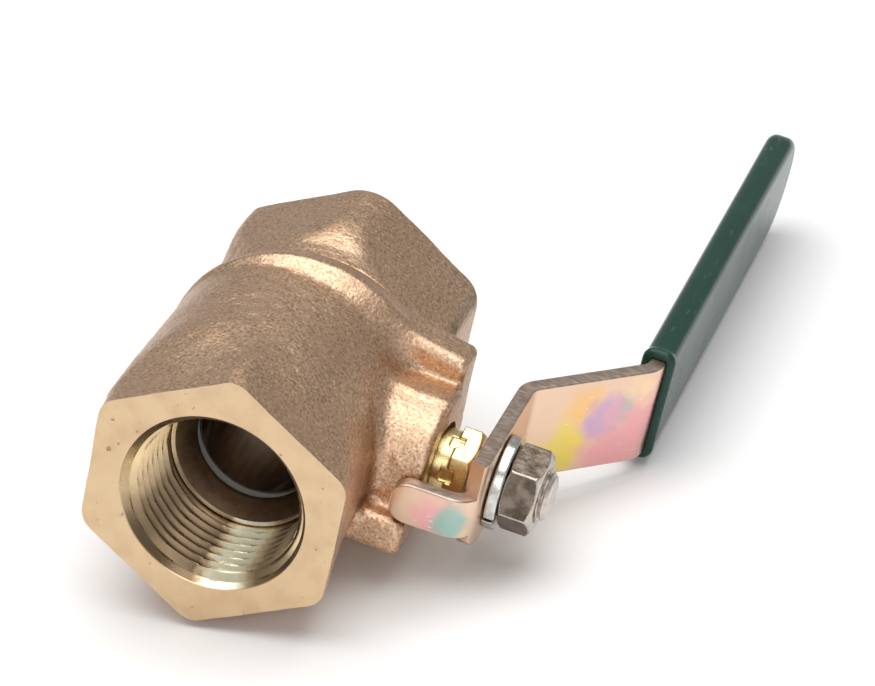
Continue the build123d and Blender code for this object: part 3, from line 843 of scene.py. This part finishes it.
def grip_shape(x, y, z):
    """Dipped sleeve: soft oblong section, round far end, and a bead where the dip ended."""
    depth, width = PLATE / 2 + VINYL, HALF_WIDTH + VINYL
    end, longer = LEVER_END + VINYL, 10          # the plan runs on past the open end, which is cut below
    half_length = (end - GRIP_START) / 2 + longer
    plan = block(y - (GRIP_START + end) / 2 + longer, z, half_length, width, width - 0.3)
    plan = np.where(y < STRAIGHT_END, np.abs(z) - width, plan)
    bead = BEAD * np.exp(-((y - GRIP_START - BEAD_PLACE) / BEAD_LENGTH) ** 2)
    across, through = plan, np.abs(x - GRIP_PLANE) - depth
    p, q = np.maximum(across + GRIP_ROUND, 0), np.maximum(through + GRIP_ROUND, 0)
    flat = np.minimum(np.maximum(across + GRIP_ROUND, through + GRIP_ROUND), 0)
    shape = np.hypot(p, q) + flat - GRIP_ROUND
    shape = keep(shape - bead + GRIP_THINNER, GRIP_START - y, blend=0.9)
    tang = np.maximum(np.abs(x - GRIP_PLANE) - PLATE / 2, np.abs(z) - HALF_WIDTH)
    return np.maximum(shape, -np.maximum(tang, y - GRIP_START - POCKET_DEPTH))


def grip_sleeve():
    points, quads = surface((53, GRIP_START - 1.5, -13.5), (63.5, LEVER_END + 4, 13.5), 0.36, grip_shape)
    made = piece("grip_sleeve", points, quads, "handle", "green_vinyl", GRIP)
    crease(made, 50)
    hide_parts("lever_grip")


# ================================================================ stem hardware
def lever_nut_shape(x, y, z):
    """Hexagon with both ends' corners coned off, and a chamfered hole."""
    flat = hexagon(z, y, [NUT_FLATS / 2] * 6, [0.4] * 6, NUT_TURN + TAU / 12)
    radius = np.hypot(y, z)
    top = LOCK_TOP + NUT_HEIGHT
    shape = keep(flat, (x - top), blend=0.15)
    shape = keep(shape, (radius - NUT_FLATS / 2 - (top - x) * 1.5 + 0.25) * 0.55, blend=0.2)
    shape = keep(shape, (radius - NUT_FLATS / 2 - (x - LOCK_TOP) * 1.8 - 0.1) * 0.5, blend=0.2)
    shape = keep(shape, LOCK_TOP - x, blend=0.1)
    upper = NUT_CHAMFER * np.maximum(x - top + NUT_CHAMFER_DEPTH, 0)
    lower = NUT_CHAMFER * np.maximum(LOCK_TOP + NUT_CHAMFER_DEPTH - x, 0)
    return np.maximum(shape, STEM - 0.1 + upper + lower - radius)


def lever_nut():
    low, high = (LOCK_TOP - 0.6, -9, -9), (LOCK_TOP + NUT_HEIGHT + 0.6, 9, 9)
    points, quads = surface(low, high, 0.15, lever_nut_shape)
    made = piece("lever_hex_nut", points, quads, "handle", "nut_steel", NUT, RIM)
    _, normal = own_axes(made)
    facing = (np.arctan2(normal[:, 1], normal[:, 2]) - NUT_TURN) % (TAU / 6) - TAU / 12
    paint(made, (np.abs(normal[:, 0]) > RIM_TILT) | (np.abs(facing) > RIM_FACING), 1)
    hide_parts("lever_nut")


def lock_washer_shape(x, y, z):
    """Split ring: one end is sprung higher than the other."""
    radius = np.hypot(y, z)
    turn = (np.arctan2(z, y) - LOCK_SPLIT) % TAU / TAU
    middle = (LEVER_FOOT + PLATE + LOCK_TOP) / 2 + LOCK_SPRING * (turn - 0.5)
    ring_middle, ring_half = radius - (STEM + LOCK_RADIUS) / 2 - 0.1, (LOCK_RADIUS - STEM) / 2 - 0.1
    ring = block(ring_middle, x - middle, ring_half, LOCK_HALF, radius=0.3)
    gap = LOCK_GAP_HALF - np.minimum(turn, 1 - turn) * TAU * radius
    return np.maximum(ring, gap)


def lock_washer():
    low, high = (LEVER_FOOT + PLATE - 0.5, -9.6, -9.6), (LOCK_TOP + 0.5, 9.6, 9.6)
    points, quads = surface(low, high, 0.16, lock_washer_shape)
    made = piece("spring_lock_washer", points, quads, "handle", "spring_steel", LOCK)
    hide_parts("lock_washer")


def packing_nut_shape(x, y, z):
    """Notched hexagon head over a neck and a screwed foot, bored for the stem."""
    flat = hexagon(z, y, [GLAND_FLATS / 2] * 6, [0.3] * 6, GLAND_TURN + TAU / 12)
    radius = np.hypot(y, z)
    head_middle, head_half = (GLAND_SHOULDER + GLAND_TOP) / 2, (GLAND_TOP - GLAND_SHOULDER) / 2
    head = keep(flat, np.abs(x - head_middle) - head_half, blend=0.2)
    head = keep(head, (radius - GLAND_FLATS / 2 - (GLAND_TOP - x) * 1.6 + 0.1) * 0.55, blend=0.2)
    neck = keep(radius - GLAND_NECK, np.abs(x - 31) - 3.6, blend=0.3)
    screwed = keep(radius - GLAND_SCREW, np.abs(x - 28.1) - 0.8, blend=0.2)
    shape = join(join(head, neck, blend=0.3), screwed, blend=0.3)
    for k in range(6):
        angle = GLAND_TURN + (k + 0.5) * TAU / 6
        a = z * math.cos(angle) + y * math.sin(angle)
        b = y * math.cos(angle) - z * math.sin(angle)
        notch = np.maximum(block(b, x - GLAND_SHOULDER, *NOTCH_HALF, radius=0.2), NOTCH_FLOOR - a)
        shape = np.maximum(shape, -notch)
    return np.maximum(shape, STEM + 0.05 - radius)


def packing_nut():
    points, quads = surface((26.6, -9.6, -9.6), (37.6, 9.6, 9.6), 0.17, packing_nut_shape)
    made = piece("packing_nut_brass", points, quads, "valve_body", "gland_brass", BRASS)
    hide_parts("packing_nut")


def stem():
    """Tang, thrust flange, shank and the threaded end with its sheared face."""
    steps, samples = 120, 10             # round the stem, and along one turn of the thread
    angle = np.arange(steps) / steps
    radii, along = [], []
    for x, radius in STEM_SHANK:
        radii.append(radius)
        along.append(x)
    top = STEM_END - 0.25
    start = LEVER_FOOT + PLATE + 0.2
    for k in range(int((top - start) / STEM_PITCH * samples)):
        x = start + k * STEM_PITCH / samples
        phase = (x / STEM_PITCH - angle) % 1
        tooth = np.clip(1.3 * (1 - np.abs(2 * phase - 1)) - 0.1, 0, 1)
        thread = STEM - 0.62 + 0.6 * tooth
        radii.append(np.minimum(thread, STEM - 0.2 + (top - x) * 0.9 - 0.55))
        along.append(x)
    radii += [STEM - 1.15, STEM - 1.6, 1.3, 0.7]
    along += [top + 0.08, STEM_END, STEM_END - 0.1, STEM_END - 0.35]
    points, faces = turned(radii, along, steps, "X")
    made = piece("valve_stem", points, faces, "handle", "stem_steel", STEM_STEEL)
    flip_if_inside_out(made)
    section = [(-TANG_Y, -TANG_Z), (TANG_Y, -TANG_Z), (TANG_Y, TANG_Z), (-TANG_Y, TANG_Z)]
    tang = [(x, y, z) for x in (TANG_START, TANG_END) for y, z in section]
    box = [[0, 3, 2, 1], [4, 5, 6, 7], [0, 1, 5, 4], [1, 2, 6, 5], [2, 3, 7, 6], [3, 0, 4, 7]]
    cut(made, tang, box, operation="UNION")
    crease(made, 40)
    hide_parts("stem")


def carried_over():
    """The inner CAD pieces keep their shapes and get their materials."""
    finishes = {"ball": CHROME, "inlet_seat": PTFE, "outlet_seat": PTFE, "body_seal": PTFE,
                "stem_thrust_washer": PTFE, "packing_ring_1": PTFE, "packing_ring_2": PTFE,
                "packing_ring_3": PTFE, "packing_follower": BRASS}
    for name, material in finishes.items():
        node = frame["nodes"][name]
        node.data.materials.clear()
        node.data.materials.append(material)


# ================================================================ stage
def studio():
    """Pale floor, dim room, one large overhead softbox and a low front fill."""
    scene = bpy.context.scene
    scene.view_settings.view_transform = "Standard"
    bpy.ops.mesh.primitive_plane_add(size=8.0, location=(0, 0, cad_low.z))
    floor = bpy.context.object
    floor.name = "floor"
    pale = bpy.data.materials.new("pale_floor")
    pale.use_nodes = True
    shader = pale.node_tree.nodes["Principled BSDF"]
    shader.inputs["Base Color"].default_value = PALE
    shader.inputs["Roughness"].default_value = PALE_ROUGHNESS
    shader.inputs["Specular IOR Level"].default_value = PALE_SHINE
    floor.data.materials.append(pale)

    world = bpy.data.worlds.new("room")
    world.use_nodes = True
    background = world.node_tree.nodes["Background"]
    background.inputs["Color"].default_value = ROOM_COLOUR
    background.inputs["Strength"].default_value = ROOM_STRENGTH
    scene.world = world

    softbox("softbox_top", (-0.1, -0.05, 1.3), (-0.1, -0.05, 0), 1.6, 20.5)
    softbox("softbox_front", (0.35, -1.4, 0.7), (0, 0, 0), 0.9, 4.5)


def softbox(name, where, towards, side, power):
    """Square area light; side in metres, power in watts."""
    light = bpy.data.lights.new(name, "AREA")
    light.shape = "SQUARE"
    light.size = side
    light.energy = power
    lamp = bpy.data.objects.new(name, light)
    lamp.location = where
    lamp.rotation_euler = (Vector(towards) - Vector(where)).to_track_quat("-Z", "Y").to_euler()
    bpy.context.scene.collection.objects.link(lamp)


def camera():
    back = Vector((math.sin(VIEW_AZIMUTH) * math.cos(VIEW_ELEVATION),
                   -math.cos(VIEW_AZIMUTH) * math.cos(VIEW_ELEVATION), math.sin(VIEW_ELEVATION)))
    data = bpy.data.cameras.new("camera")
    data.lens = VIEW_LENS
    data.clip_start, data.clip_end = 0.01, 20.0
    made = bpy.data.objects.new("camera", data)
    made.location = VIEW_TARGET + back * VIEW_DISTANCE
    aim = (-back).to_track_quat("-Z", "Y").to_matrix().to_4x4() @ Matrix.Rotation(VIEW_ROLL, 4, "Z")
    made.rotation_euler = aim.to_euler()
    bpy.context.scene.collection.objects.link(made)
    bpy.context.scene.camera = made


camera()
studio()
body_casting()
connector_casting()
lever_plate()
grip_sleeve()
lever_nut()
lock_washer()
packing_nut()
stem()
carried_over()
